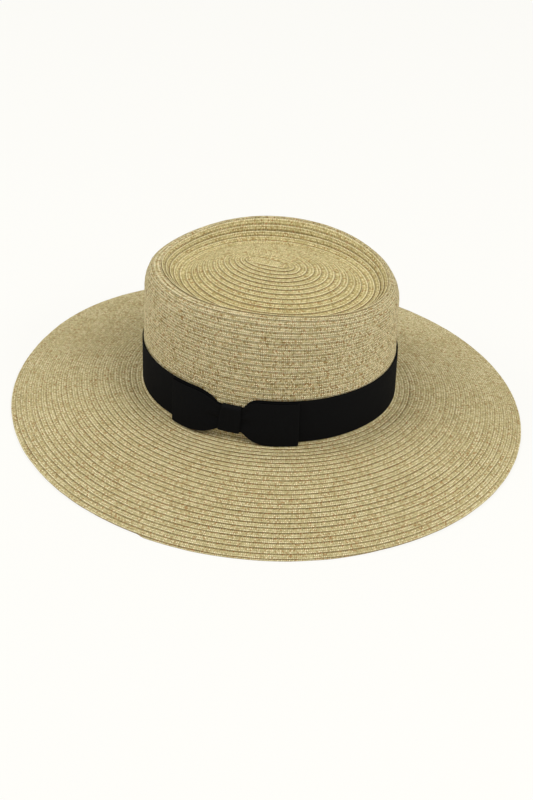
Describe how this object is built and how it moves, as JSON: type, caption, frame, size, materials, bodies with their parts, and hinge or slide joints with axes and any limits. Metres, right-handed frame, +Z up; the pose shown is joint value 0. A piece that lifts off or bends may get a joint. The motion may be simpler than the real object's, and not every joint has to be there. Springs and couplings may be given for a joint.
{
  "type": "straw gambler hat",
  "caption": "Wide-brimmed straw hat with a flat, dished crown, a sloping brim, and a black ribbon band that ends in a flat bow at the wearer's left side.",
  "frame": {"origin": "on the surface that the hat rests on, under the middle of the brim", "axes": "+Z up; the hat's front faces -Y, its rear +Y, and the wearer's left side, where the bow is, +X"},
  "size_m": [0.3714, 0.419, 0.141],
  "materials": {
    "straw": "matte sewn wheat-straw braid, tan with cream and brown flecks",
    "ribbon": "matte black grosgrain ribbon"
  },
  "bodies": {
    "root": {"crown": "straw", "brim": "straw", "hat_band": "ribbon", "bow_front_loop": "ribbon", "bow_rear_loop": "ribbon", "bow_knot": "ribbon"}
  },
  "joints": []
}
